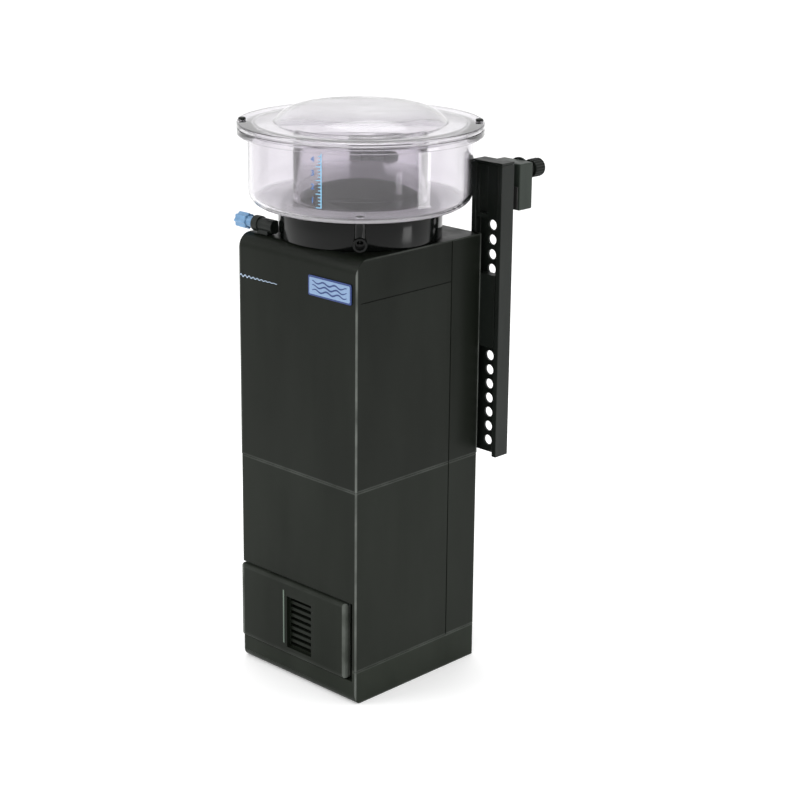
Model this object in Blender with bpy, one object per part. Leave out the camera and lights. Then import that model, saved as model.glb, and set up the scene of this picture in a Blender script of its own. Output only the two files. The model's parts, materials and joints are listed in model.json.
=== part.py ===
"""Sump protein skimmer: a square black tower, a clear foam cup and two hanging rails.

Z is up, +Y is the back with the rails, and the grille faces -Y. The origin is the
middle of the tray's underside. Lengths are in metres.
"""

import math

import bmesh
import bpy
from mathutils import Matrix, Vector

# Driving dimensions of the tower
WIDTH = 0.141
DEPTH = 0.1476
BODY_TOP = 0.386
SEAM = 0.1905
TRAY_TOP = 0.030
WALL = 0.003
GAP = 0.0003
TOP_FILLET = 0.012
FRONT_STEP = 0.006
COVER_TOP = 0.090
COVER_BOTTOM = 0.021
COVER_POST = 0.004
PARTITION_Y = 0.0378

# Neck, cup and lid, turned about the Z axis
NECK_RADIUS = 0.069
NECK_TOP = 0.410
SPIGOT_RADIUS = 0.0528
SPIGOT_TOP = 0.4170
CUP_BOTTOM = 0.4125
CUP_RADIUS = 0.094
CUP_WALL = 0.003
CUP_FLOOR = 0.0032
CUP_CORNER = 0.012
FLANGE_RADIUS = 0.1028
FLANGE_BOTTOM = 0.4715
FLANGE_TOP = 0.477
RISER_RADIUS = 0.0564
RISER_WALL = 0.003
RISER_TOP = 0.4675
RISER_STEP = 0.4240
LID_TOP = 0.495
DOME_RADIUS = 0.0725
PIN_RADIUS_FROM_AXIS = 0.0983

# Hanging rails, with the right one's values; the left one is its mirror image
RAIL_X = (0.0581, 0.0914)
RAIL_Y = (0.0745, 0.0902)
RAIL_Z = (0.1906, 0.4460)
RAIL_MIDDLE = (RAIL_X[0] + RAIL_X[1]) / 2
FLANGE_THICK = 0.0032
LIP = 0.0015
LIP_DEPTH = 0.002
WEB_Y = (0.0830, 0.0852)
HOLE_PITCH = 0.01275
HOLE_COUNT = 17
HOLE_RADIUS = 0.0044
TOP_HOLE = 0.40515
SHOE_Z = (0.288, 0.3515)
ARM_BAR_Z = (0.4280, 0.4415)
ARM_BAR_HALF = 0.0080
SCREW_Z = (ARM_BAR_Z[0] + ARM_BAR_Z[1]) / 2
JAW_Y = (0.0980, 0.1145)
JAW_Z = (0.4046, 0.4445)

# Pump, its shaft along Y
PUMP_Z = 0.040
PUMP_FRONT = -0.040
MOTOR_FRONT = -0.005
MOTOR_BACK = 0.050
MOTOR_HALF = 0.0275
ROTOR_BORE = 0.0135
SHAFT_RADIUS = 0.002
BEARING_CLEARANCE = 0.00008

# Air valve and outlet
VALVE_Y = -0.060
VALVE_Z = 0.3938
VALVE_PORT_X = -0.054
HOSE_RADIUS = 0.003
OUTLET_X, OUTLET_Y, OUTLET_Z = -0.035, 0.0555, 0.083
PUMP_PIPE_X, PUMP_PIPE_Y = 0.012, -0.022
INJECTOR_Y = -0.0443

FRONT = -DEPTH / 2
BACK = DEPTH / 2
SIDE = WIDTH / 2
COVER_BACK = FRONT + FRONT_STEP

COLOURS = {
    "tower_black": ((0.028, 0.031, 0.028, 1), 0.38, 0.0),
    "neck_black": ((0.012, 0.014, 0.013, 1), 0.16, 0.0),
    "rail_black": ((0.018, 0.020, 0.019, 1), 0.42, 0.0),
    "clear_cup": ((0.82, 0.78, 0.86, 0.35), 0.06, 0.0),
    "valve_blue": ((0.10, 0.30, 0.62, 1), 0.35, 0.0),
    "rubber_black": ((0.015, 0.015, 0.015, 1), 0.8, 0.0),
    "pump_grey": ((0.06, 0.06, 0.065, 1), 0.45, 0.0),
    "magnet": ((0.05, 0.05, 0.05, 1), 0.5, 0.6),
    "ceramic": ((0.85, 0.84, 0.80, 1), 0.25, 0.0),
    "white_plastic": ((0.75, 0.76, 0.76, 1), 0.4, 0.0),
    "hose": ((0.35, 0.40, 0.42, 0.6), 0.3, 0.0),
    "badge_blue": ((0.02, 0.06, 0.28, 1), 0.35, 0.0),
}


def clear_scene():
    for obj in list(bpy.data.objects):
        bpy.data.objects.remove(obj, do_unlink=True)


def material(name):
    found = bpy.data.materials.get(name)
    if found:
        return found
    colour, roughness, metallic = COLOURS[name]
    made = bpy.data.materials.new(name)
    made.use_nodes = True
    shader = made.node_tree.nodes["Principled BSDF"]
    shader.inputs["Base Color"].default_value = colour
    shader.inputs["Alpha"].default_value = colour[3]
    shader.inputs["Roughness"].default_value = roughness
    shader.inputs["Metallic"].default_value = metallic
    return made


def place(name, mesh, slot):
    obj = bpy.data.objects.new(name, mesh)
    bpy.context.scene.collection.objects.link(obj)
    mesh.materials.append(material(slot))
    return obj


def finish_mesh(name, bm, slot, smooth=True):
    bmesh.ops.recalc_face_normals(bm, faces=bm.faces)
    mesh = bpy.data.meshes.new(name)
    bm.to_mesh(mesh)
    bm.free()
    if smooth:
        mesh.shade_smooth()
        mesh.set_sharp_from_angle(angle=math.radians(35))
    return place(name, mesh, slot)


def block(name, low, high, slot, bevel=0.0):
    """A box between two corners, its edges bevelled if asked."""
    bm = bmesh.new()
    bmesh.ops.create_cube(bm, size=1.0)
    low, high = Vector(low), Vector(high)
    for vert in bm.verts:
        vert.co = Vector(
            (low[i] if vert.co[i] < 0 else high[i]) for i in range(3)
        )
    if bevel:
        bmesh.ops.bevel(bm, geom=bm.edges[:], offset=bevel, segments=2, profile=0.5, affect="EDGES")
    return finish_mesh(name, bm, slot, smooth=bool(bevel))


def prism(name, outline, axis, start, end, slot):
    """An outline in the two other axes, in X, Y, Z order, extruded along one axis."""
    bm = bmesh.new()
    rings = []
    for along in (start, end):
        ring = []
        for first, second in outline:
            point = {"X": (along, first, second), "Y": (first, along, second), "Z": (first, second, along)}
            ring.append(bm.verts.new(point[axis]))
        rings.append(ring)
    count = len(outline)
    for i in range(count):
        j = (i + 1) % count
        bm.faces.new((rings[0][i], rings[0][j], rings[1][j], rings[1][i]))
    bm.faces.new(rings[0])
    bm.faces.new(rings[1])
    return finish_mesh(name, bm, slot)


def turned(name, profile, slot, segments=48, centre=(0, 0, 0), axis="Z"):
    """A closed profile of (radius, height) points turned about an axis through centre."""
    bm = bmesh.new()
    rings = []
    for radius, height in profile:
        if radius == 0:
            rings.append([bm.verts.new((0, 0, height))] * segments)
            continue
        angles = (math.tau * i / segments for i in range(segments))
        rings.append([bm.verts.new((radius * math.cos(a), radius * math.sin(a), height)) for a in angles])
    for k, ring in enumerate(rings):
        other = rings[(k + 1) % len(rings)]
        if profile[k][0] == 0 and profile[(k + 1) % len(rings)][0] == 0:
            continue
        for i in range(segments):
            j = (i + 1) % segments
            corners = []
            for vert in (ring[i], ring[j], other[j], other[i]):
                if vert not in corners:
                    corners.append(vert)
            bm.faces.new(corners)
    obj = finish_mesh(name, bm, slot)
    turns = {"Z": (0, 0, 0), "Y": (-math.pi / 2, 0, 0), "X": (0, math.pi / 2, 0)}
    obj.rotation_euler = turns[axis]
    obj.location = centre
    return obj


def rod(name, radius, start, end, slot="tower_black", segments=16):
    """A solid cylinder between two points."""
    start, end = Vector(start), Vector(end)
    length = (end - start).length
    obj = turned(name, [(0, 0), (radius, 0), (radius, length), (0, length)], slot, segments)
    obj.rotation_euler = (end - start).to_track_quat("Z", "Y").to_euler()
    obj.location = start
    return obj


def rods(name, radius, starts, step, slot="tower_black", segments=12):
    """Several equal cylinders in one mesh, used as a cutter or joined to another shape."""
    bm = bmesh.new()
    step = Vector(step)
    turn = step.to_track_quat("Z", "Y").to_matrix().to_4x4()
    for start in starts:
        middle = Matrix.Translation(Vector(start) + step / 2) @ turn
        bmesh.ops.create_cone(
            bm, cap_ends=True, segments=segments, radius1=radius, radius2=radius,
            depth=step.length, matrix=middle,
        )
    return finish_mesh(name, bm, slot)


def combine(target, tool, operation):
    tool.hide_render = True
    tool.display_type = "WIRE"
    modifier = target.modifiers.new(f"{operation.lower()} {tool.name}", "BOOLEAN")
    modifier.operation = operation
    modifier.solver = "EXACT"
    modifier.object = tool


def cut(target, *tools):
    for tool in tools:
        combine(target, tool, "DIFFERENCE")
    return target


def join(target, *tools):
    for tool in tools:
        combine(target, tool, "UNION")
    return target


def arc(centre, radius, first, last, steps):
    """Points on an arc, its angles in degrees."""
    points = []
    for i in range(steps + 1):
        angle = math.radians(first + (last - first) * i / steps)
        points.append((centre[0] + radius * math.cos(angle), centre[1] + radius * math.sin(angle)))
    return points


def rounded_rectangle(low, high, radius, steps=3):
    corners = (
        ((high[0] - radius, high[1] - radius), 0),
        ((low[0] + radius, high[1] - radius), 90),
        ((low[0] + radius, low[1] + radius), 180),
        ((high[0] - radius, low[1] + radius), 270),
    )
    points = []
    for centre, turn in corners:
        points += arc(centre, radius, turn, turn + 90, steps)
    return points


def fluted_outline(radius, depth, lobes, per_lobe=6):
    """A round outline whose radius swings in and out."""
    count = lobes * per_lobe
    points = []
    for i in range(count):
        angle = math.tau * i / count
        size = radius - depth * (1 - math.cos(lobes * angle)) / 2
        points.append((size * math.cos(angle), size * math.sin(angle)))
    return points


def side_grooves(name, low_z, high_z):
    """The shallow upright line on each side, in front of the return chamber."""
    half, depth = 0.0005, 0.0008
    cutters = []
    for side, sign in (("left", -1), ("right", 1)):
        near, far = sign * (SIDE - depth), sign * (SIDE + 0.002)
        low = (min(near, far), PARTITION_Y - half, low_z)
        high = (max(near, far), PARTITION_Y + half, high_z)
        cutters.append(block(f"{name}_{side}", low, high, "tower_black"))
    return cutters


def base_tray():
    """The tray, with its front lower edge rounded and a ledge that the cover reaches over."""
    outline = rounded_rectangle((-SIDE, FRONT), (SIDE, BACK), 0.001, 2)
    tray = prism("base_tray", outline, "Z", 0.0, TRAY_TOP - GAP, "tower_black")
    inside = rounded_rectangle((-SIDE + WALL, COVER_BACK + WALL), (SIDE - WALL, BACK - WALL), 0.001)
    over, rise = 0.01, 0.009
    toe = []
    for i in range(7):
        angle = math.radians(15 * i)
        toe.append((COVER_BACK - FRONT_STEP * math.cos(angle), rise - rise * math.sin(angle)))
    toe += [(COVER_BACK, -over), (FRONT - over, -over), (FRONT - over, rise)]
    return cut(
        tray,
        prism("tray_hollow", inside, "Z", WALL, TRAY_TOP + over, "tower_black"),
        block("tray_ledge", (-SIDE - over, FRONT - over, COVER_BOTTOM - 2 * GAP),
              (SIDE - COVER_POST, COVER_BACK, TRAY_TOP + over), "tower_black"),
        prism("tray_toe", toe, "X", -SIDE - over, SIDE + over, "tower_black"),
    )


def lower_housing():
    outline = rounded_rectangle((-SIDE, FRONT), (SIDE, BACK), 0.001, 2)
    shell = prism("lower_housing", outline, "Z", TRAY_TOP, SEAM - GAP, "tower_black")
    inner, over = SIDE - WALL, 0.01
    recess_top = COVER_TOP + 0.001
    cut(
        shell,
        block("cover_recess", (-SIDE - over, FRONT - over, TRAY_TOP - over),
              (SIDE - COVER_POST, COVER_BACK, recess_top), "tower_black"),
        block("chamber_upper", (-inner, FRONT + WALL, recess_top + WALL),
              (inner, BACK - WALL, SEAM + over), "tower_black"),
        block("chamber_lower", (-inner, COVER_BACK + WALL, TRAY_TOP - over),
              (inner, BACK - WALL, recess_top + WALL + 0.001), "tower_black"),
        block("pump_access", (-0.050, COVER_BACK - over, 0.036),
              (0.050, COVER_BACK + 2 * WALL, 0.084), "tower_black"),
        rod("outlet_hole", 0.0122, (OUTLET_X, BACK - over, OUTLET_Z), (OUTLET_X, BACK + over, OUTLET_Z),
            segments=24),
        *side_grooves("lower_groove", TRAY_TOP - over, SEAM + over),
    )
    return shell


def side_outline(inset):
    """The tower's side view, with the rounded front top edge."""
    radius = TOP_FILLET - inset
    low, high = FRONT + inset, BACK - inset
    top = BODY_TOP - inset
    bottom = SEAM if inset == 0 else SEAM - 0.01
    rounded = arc((low + radius, top - radius), radius, 180, 90, 6)
    return [(high, bottom), (high, top), *reversed(rounded), (low, bottom)]


def upper_housing():
    shell = prism("upper_housing", side_outline(0), "X", -SIDE, SIDE, "tower_black")
    over = 0.01
    line_z, line_front = 0.3504, -0.0686
    step_cutters = []
    for side, sign in (("left", -1), ("right", 1)):
        near, far = sign * (SIDE - 0.0008), sign * (SIDE + over)
        low = (min(near, far), line_front, line_z - 0.0005)
        high = (max(near, far), PARTITION_Y, line_z + 0.0005)
        step_cutters.append(block(f"side_line_{side}", low, high, "tower_black"))
    cut(
        shell,
        prism("upper_chamber", side_outline(WALL), "X", -SIDE + WALL, SIDE - WALL, "tower_black"),
        rod("neck_hole", 0.060, (0, 0, BODY_TOP - over), (0, 0, BODY_TOP + over), segments=48),
        rod("air_hole", 0.0036, (VALVE_PORT_X, VALVE_Y, BODY_TOP - over),
            (VALVE_PORT_X, VALVE_Y, BODY_TOP + over), segments=12),
        rod("gland_hole", 0.006, (0.030, BACK - over, 0.355), (0.030, BACK + over, 0.355)),
        *side_grooves("upper_groove", SEAM - over, BODY_TOP - 0.001),
        *step_cutters,
    )
    return shell


def front_cover():
    """The clip-on cover, with a sunk grille of level slots and an upright bead beside it."""
    low = Vector((-SIDE, FRONT - 0.0025, COVER_BOTTOM))
    high = Vector((0.0608, COVER_BACK - GAP, COVER_TOP))
    cover = block("front_cover", low, high, "tower_black", bevel=0.0026)
    grille_x, grille_z = (-0.0115, 0.0188), (0.0280, 0.0755)
    face, floor, margin = 0.0035, 0.0044, 0.0005
    bead = block("grille_bead", (-0.0159, low.y - 0.0005, 0.0310), (-0.0145, low.y + 0.001, 0.0803), "tower_black")
    recess = block("grille_recess", (grille_x[0], low.y - 0.01, grille_z[0]),
                   (grille_x[1], high.y - floor, grille_z[1]), "tower_black")
    pocket_z = (low.z + face + 0.001, high.z - face)
    left = block("pocket_left", (low.x + face, low.y + face, pocket_z[0]),
                 (grille_x[0] - face, high.y + 0.01, pocket_z[1]), "tower_black")
    right = block("pocket_right", (grille_x[1] + face, low.y + face, pocket_z[0]),
                  (high.x - face, high.y + 0.01, pocket_z[1]), "tower_black")
    slot_count, slot_height = 8, 0.0030
    pitch = (grille_z[1] - grille_z[0]) / slot_count
    slots = []
    for i in range(slot_count):
        middle = grille_z[0] + pitch * (i + 0.5)
        slots.append(block(f"slot_{i}", (grille_x[0] + margin, high.y - 0.006, middle - slot_height / 2),
                           (grille_x[1] - margin, high.y + 0.01, middle + slot_height / 2), "tower_black"))
    return cut(join(cover, bead), recess, left, right, *slots)


def badge_plate():
    low, high = (0.0153, 0.3490), (0.0653, 0.3660)
    outline = rounded_rectangle(low, high, 0.0015, 2)
    return prism("badge_plate", outline, "Y", FRONT - 0.0011, FRONT - GAP, "badge_blue")


def neck_collar():
    inner = SPIGOT_RADIUS - 0.0033
    sleeve = 0.0596
    profile = [
        (inner, SPIGOT_TOP), (SPIGOT_RADIUS, SPIGOT_TOP), (SPIGOT_RADIUS, NECK_TOP),
        (NECK_RADIUS - 0.001, NECK_TOP), (NECK_RADIUS, NECK_TOP - 0.001), (NECK_RADIUS, BODY_TOP + GAP),
        (sleeve, BODY_TOP + GAP), (sleeve, BODY_TOP - 0.008), (sleeve - WALL, BODY_TOP - 0.008),
        (sleeve - WALL, BODY_TOP + WALL), (NECK_RADIUS - WALL, BODY_TOP + 2 * WALL),
        (NECK_RADIUS - WALL, NECK_TOP - WALL), (inner, NECK_TOP - WALL),
    ]
    return turned("neck_collar", profile, "neck_black", 48)


def cup_gasket():
    low, high = NECK_TOP + GAP, CUP_BOTTOM - GAP
    profile = [(0.0545, low), (0.066, low), (0.066, high), (0.0545, high)]
    return turned("cup_gasket", profile, "rubber_black", 32)


def foam_cone():
    """The funnel that gathers the foam under the neck."""
    low, high, wide, narrow, wall = 0.345, 0.404, 0.0640, 0.0488, 0.002
    profile = [
        (wide, low), (narrow, high - 0.014), (narrow, high),
        (narrow - wall, high), (narrow - wall, high - 0.014), (wide - wall, low),
    ]
    return turned("foam_cone", profile, "tower_black", 32)


def pin_places():
    """The two lid pins, over the tower's front left and back right corners."""
    offset = PIN_RADIUS_FROM_AXIS / math.sqrt(2)
    return (("left", -offset, -offset), ("right", offset, offset))


def pin_holes(name):
    starts = [(x, y, FLANGE_BOTTOM - 0.01) for _, x, y in pin_places()]
    return rods(name, 0.0027, starts, (0, 0, 0.03), "clear_cup", 10)


def cup():
    inner = CUP_RADIUS - CUP_WALL
    floor = CUP_BOTTOM + CUP_FLOOR
    outer_arc = arc((CUP_RADIUS - CUP_CORNER, CUP_BOTTOM + CUP_CORNER), CUP_CORNER, -90, 0, 4)
    inner_corner = CUP_CORNER - CUP_WALL
    inner_arc = arc((inner - inner_corner, floor + inner_corner), inner_corner, 0, -90, 3)
    hole = SPIGOT_RADIUS + 0.0006
    profile = [
        (hole, CUP_BOTTOM), *outer_arc, (CUP_RADIUS, FLANGE_BOTTOM - 0.002),
        (CUP_RADIUS + 0.002, FLANGE_BOTTOM), (FLANGE_RADIUS - 0.0008, FLANGE_BOTTOM),
        (FLANGE_RADIUS, FLANGE_BOTTOM + 0.0008), (FLANGE_RADIUS, FLANGE_TOP), (inner, FLANGE_TOP),
        *inner_arc, (hole, floor),
    ]
    body = turned("cup", profile, "clear_cup", 48)
    drain = drain_place(0.0755)
    drain_hole = rod("drain_hole", 0.0040, (*drain, CUP_BOTTOM - 0.01), (*drain, floor + 0.01), "clear_cup")
    return cut(body, pin_holes("cup_pin_holes"), drain_hole)


def riser_tube():
    """The tube that the foam climbs, with a thicker foot round the neck's spigot."""
    low = CUP_BOTTOM + CUP_FLOOR + GAP
    foot, inner = RISER_RADIUS - RISER_WALL, RISER_RADIUS - RISER_WALL + 0.0008
    profile = [
        (foot, low), (RISER_RADIUS, low), (RISER_RADIUS, RISER_TOP - 0.001), (RISER_RADIUS - 0.001, RISER_TOP),
        (inner + 0.0008, RISER_TOP), (inner, RISER_TOP - 0.0008), (inner, RISER_STEP), (foot, RISER_STEP),
    ]
    return turned("riser_tube", profile, "clear_cup", 40)


def drain_place(radius):
    """A place under the cup's floor at the front right corner."""
    return (radius / math.sqrt(2), -radius / math.sqrt(2))


def drain_elbow():
    level = 0.3945
    stem, start, mouth = drain_place(0.0755), drain_place(0.0712), drain_place(0.0835)
    beyond = drain_place(0.09)
    elbow = rod("drain_elbow", 0.0045, (*stem, level), (*stem, CUP_BOTTOM - GAP), "neck_black")
    nozzle = rod("drain_nozzle", 0.0059, (*start, level), (*mouth, level), "neck_black", 20)
    spigot = rod("drain_spigot", 0.0036, (*stem, CUP_BOTTOM - 0.002), (*stem, CUP_BOTTOM + 0.003), "neck_black")
    join(elbow, nozzle, spigot)
    bore_down = rod("drain_bore", 0.0024, (*stem, level - 0.0005), (*stem, CUP_BOTTOM + 0.01), "neck_black", 12)
    bore_out = rod("nozzle_bore", 0.0040, (*stem, level), (*beyond, level), "neck_black")
    return cut(elbow, bore_down, bore_out)


def dome(radius, foot, steps=6):
    """A low dome's profile, flat on top and steepest at its foot, from the middle outwards."""
    rise = LID_TOP - 0.4815
    shares = [0, *(0.45 + 0.55 * math.sin(math.pi / 2 * i / steps) for i in range(steps + 1))]
    return [(radius * share, foot + rise * (1 - share**7)) for share in shares]


def lid():
    rim, top = FLANGE_TOP + GAP, 0.4815
    wall, lip = 0.0030, CUP_RADIUS - CUP_WALL - 0.0005
    profile = [
        *dome(DOME_RADIUS, top), (FLANGE_RADIUS - 0.0012, top), (FLANGE_RADIUS, top - 0.0012),
        (FLANGE_RADIUS, rim), (lip, rim), (lip, rim - 0.0043), (lip - 0.0022, rim - 0.0043),
        (lip - 0.0022, top - wall), *reversed(dome(DOME_RADIUS - 0.001, top - wall)),
    ]
    return cut(turned("lid", profile, "clear_cup", 48), pin_holes("lid_pin_holes"))


def lid_pins():
    top = 0.4815 + GAP
    pins = []
    for side, x, y in pin_places():
        profile = [
            (0, FLANGE_BOTTOM - 0.001), (0.0020, FLANGE_BOTTOM - 0.001), (0.0022, FLANGE_BOTTOM),
            (0.0022, top), (0.0032, top), (0.0032, top + 0.0012), (0.0022, top + 0.002), (0, top + 0.002),
        ]
        pins.append(turned(f"lid_pin_{side}", profile, "rail_black", 12, centre=(x, y, 0)))
    return pins


def air_valve_body():
    """A round valve on a foot, with a stepped mouth for the knob."""
    nut_x, mouth_x, end_x = -0.0570, -0.0640, -0.0400
    body = rod("air_valve_body", 0.0058, (mouth_x + 0.001, VALVE_Y, VALVE_Z), (end_x, VALVE_Y, VALVE_Z),
               "rail_black", 20)
    nut = rod("valve_nut", 0.0068, (mouth_x, VALVE_Y, VALVE_Z), (nut_x, VALVE_Y, VALVE_Z), "rail_black", 20)
    half = 0.0042
    foot = block("valve_foot", (VALVE_PORT_X - half, VALVE_Y - half, BODY_TOP + GAP),
                 (VALVE_PORT_X + 2 * half, VALVE_Y + half, VALVE_Z - 0.002), "rail_black")
    spigot = rod("valve_spigot", 0.0032, (VALVE_PORT_X, VALVE_Y, BODY_TOP - 0.006),
                 (VALVE_PORT_X, VALVE_Y, BODY_TOP + 0.002), "rail_black", 12)
    neck_clearance = rod("neck_clearance", NECK_RADIUS + 0.0004, (0, 0, BODY_TOP - 0.01),
                         (0, 0, NECK_TOP + 0.01), "rail_black", 48)
    needle_bore = rod("needle_bore", 0.0030, (-0.080, VALVE_Y, VALVE_Z), (-0.0480, VALVE_Y, VALVE_Z), "rail_black")
    port = rod("valve_port", 0.0016, (VALVE_PORT_X, VALVE_Y, BODY_TOP - 0.01),
               (VALVE_PORT_X, VALVE_Y, VALVE_Z), "rail_black", 12)
    return cut(join(body, nut, foot, spigot), neck_clearance, needle_bore, port)


def air_needle():
    profile = [(0, 0), (0.0025, 0), (0.0025, 0.0150), (0.0008, 0.0195), (0, 0.0195)]
    return turned("air_needle", profile, "rail_black", 16, centre=(-0.0690, VALVE_Y, VALVE_Z), axis="X")


def air_knob():
    """A blue knob with eight lobes on a short collar."""
    outer, head, collar = -0.0850, -0.0720, -0.0650
    knob = prism("air_knob", fluted_outline(0.0069, 0.0010, 8), "X", 0, head - outer, "valve_blue")
    neck = rod("knob_collar", 0.0046, (head - outer - 0.002, 0, 0), (collar - outer, 0, 0), "valve_blue")
    bore = rod("knob_bore", 0.0029, (-0.0695 - outer, 0, 0), (0.03, 0, 0), "valve_blue")
    empty = bpy.data.objects.new("air_knob_axis", None)
    bpy.context.scene.collection.objects.link(empty)
    empty.location = (outer, VALVE_Y, VALVE_Z)
    for piece in (knob, neck, bore):
        piece.parent = empty
    return cut(join(knob, neck), bore)


def air_hose():
    """The hose inside the tower, from the valve's spigot down to the pump's injector."""
    top, bottom = BODY_TOP - 0.0063, PUMP_Z + 0.0328
    route = [
        (VALVE_PORT_X, VALVE_Y, top), (VALVE_PORT_X, VALVE_Y, 0.34), (VALVE_PORT_X, VALVE_Y, 0.25),
        (VALVE_PORT_X, VALVE_Y, 0.16), (VALVE_PORT_X, VALVE_Y, 0.118), (-0.052, VALVE_Y, 0.098),
        (-0.028, -0.050, 0.098), (-0.006, INJECTOR_Y, 0.092), (0, INJECTOR_Y, bottom + 0.006),
        (0, INJECTOR_Y, bottom),
    ]
    curve = bpy.data.curves.new("air_hose", "CURVE")
    curve.dimensions = "3D"
    curve.bevel_depth = HOSE_RADIUS
    curve.bevel_resolution = 1
    curve.use_fill_caps = True
    points = smooth_route([Vector(p) for p in route], 4)
    spline = curve.splines.new("POLY")
    spline.points.add(len(points) - 1)
    for target, point in zip(spline.points, points):
        target.co = (*point, 1)
    hose = bpy.data.objects.new("air_hose", curve)
    bpy.context.scene.collection.objects.link(hose)
    curve.materials.append(material("hose"))
    return hose


def smooth_route(points, steps):
    """A smooth curve through the route's points."""
    padded = [2 * points[0] - points[1], *points, 2 * points[-1] - points[-2]]
    smooth = []
    for a, b, c, d in zip(padded, padded[1:], padded[2:], padded[3:]):
        for i in range(steps):
            t = i / steps
            smooth.append(
                0.5 * (2 * b + (c - a) * t + (2 * a - 5 * b + 4 * c - d) * t**2
                       + (3 * b - a - 3 * c + d) * t**3)
            )
    return [*smooth, points[-1]]


def air_injector():
    low, high = PUMP_Z + 0.0133, PUMP_Z + 0.0325
    profile = [(0.0013, low), (0.0031, low), (0.0031, high), (0.0013, high)]
    return turned("air_injector", profile, "pump_grey", 16, centre=(0, INJECTOR_Y, 0))


def pump_motor():
    low, high = (-MOTOR_HALF, MOTOR_FRONT, PUMP_Z - MOTOR_HALF), (MOTOR_HALF, MOTOR_BACK, PUMP_Z + MOTOR_HALF)
    motor = block("pump_motor", low, high, "pump_grey", bevel=0.003)
    bore = rod("rotor_bore", ROTOR_BORE, (0, MOTOR_FRONT - 0.01, PUMP_Z), (0, 0.040, PUMP_Z), "pump_grey", 32)
    return cut(motor, bore)


def pump_volute():
    back, cavity = MOTOR_FRONT - GAP, PUMP_FRONT + WALL
    profile = [
        (0.010, -0.050), (0.013, -0.050), (0.013, PUMP_FRONT), (0.031, PUMP_FRONT), (0.031, back),
        (0.028, back), (0.028, cavity), (0.010, cavity),
    ]
    volute = turned("pump_volute", profile, "pump_grey", 32, centre=(0, 0, PUMP_Z), axis="Y")
    port = rod("volute_port", 0.0085, (PUMP_PIPE_X, PUMP_PIPE_Y, PUMP_Z + 0.015),
               (PUMP_PIPE_X, PUMP_PIPE_Y, PUMP_Z + 0.040), "pump_grey")
    air_port = rod("air_port", 0.0014, (0, INJECTOR_Y, PUMP_Z), (0, INJECTOR_Y, PUMP_Z + 0.02), "pump_grey", 10)
    return cut(volute, port, air_port)


def pump_outlet_pipe():
    profile = [(0.0085, 0.0720), (0.0105, 0.0720), (0.0105, 0.125), (0.0085, 0.125)]
    return turned("pump_outlet_pipe", profile, "pump_grey", 24, centre=(PUMP_PIPE_X, PUMP_PIPE_Y, 0))


def intake_strainer():
    front, back = -0.0635, -0.0505
    profile = [
        (0, front), (0.0150, front), (0.0165, front + 0.0015), (0.0165, back), (0.0145, back),
        (0.0145, front + 0.0025), (0, front + 0.0025),
    ]
    strainer = turned("intake_strainer", profile, "pump_grey", 24, centre=(0, 0, PUMP_Z), axis="Y")
    starts = [(x, front - 0.01, PUMP_Z + z) for x in (-0.008, 0, 0.008) for z in (-0.008, 0, 0.008)]
    return cut(strainer, rods("strainer_holes", 0.0025, starts, (0, 0.02, 0), "pump_grey", 6))


def rotor():
    """Shaft, magnet and foaming wheel, which turn together, and the two bushes that hold them."""
    centre, outer = (0, 0, PUMP_Z), ROTOR_BORE - GAP
    bush_bore = SHAFT_RADIUS + BEARING_CLEARANCE
    shaft = [(0, -0.034), (SHAFT_RADIUS, -0.034), (SHAFT_RADIUS, 0.0394), (0, 0.0394)]
    turned("rotor_shaft", shaft, "ceramic", 16, centre, "Y")
    fixed = SHAFT_RADIUS + GAP
    magnet = [(fixed, 0.0), (0.0125, 0.0), (0.0125, 0.034), (fixed, 0.034)]
    turned("rotor_magnet", magnet, "magnet", 24, centre, "Y")
    for name, start in (("rotor_bush_front", -0.0045), ("rotor_bush_rear", 0.0355)):
        profile = [(bush_bore, start), (outer, start), (outer, start + 0.004), (bush_bore, start + 0.004)]
        turned(name, profile, "rubber_black", 16, centre, "Y")
    disc = [(fixed, -0.0140), (0.0240, -0.0140), (0.0240, -0.0110), (fixed, -0.0110)]
    wheel = turned("foamer_wheel", disc, "white_plastic", 24, centre, "Y")
    starts = []
    for radius, count in ((0.0120, 6), (0.0195, 10)):
        for i in range(count):
            angle = math.tau * i / count
            starts.append((radius * math.cos(angle), -0.0340, PUMP_Z + radius * math.sin(angle)))
    join(wheel, rods("wheel_pins", 0.0016, starts, (0, 0.0210, 0), "white_plastic", 6))


def pump_pads():
    places = (("front_left", -0.019, 0.004), ("front_right", 0.019, 0.004),
              ("rear_left", -0.019, 0.041), ("rear_right", 0.019, 0.041))
    low, high = WALL + GAP, PUMP_Z - MOTOR_HALF - GAP
    for name, x, y in places:
        profile = [(0, low), (0.006, low), (0.0045, high), (0, high)]
        turned(f"pump_pad_{name}", profile, "rubber_black", 16, centre=(x, y, 0))


def rear_partition():
    half = 0.0672
    low, high = (-half, PARTITION_Y - 0.0015, 0.080), (half, PARTITION_Y + 0.0015, 0.330)
    return block("rear_partition", low, high, "tower_black")


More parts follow.
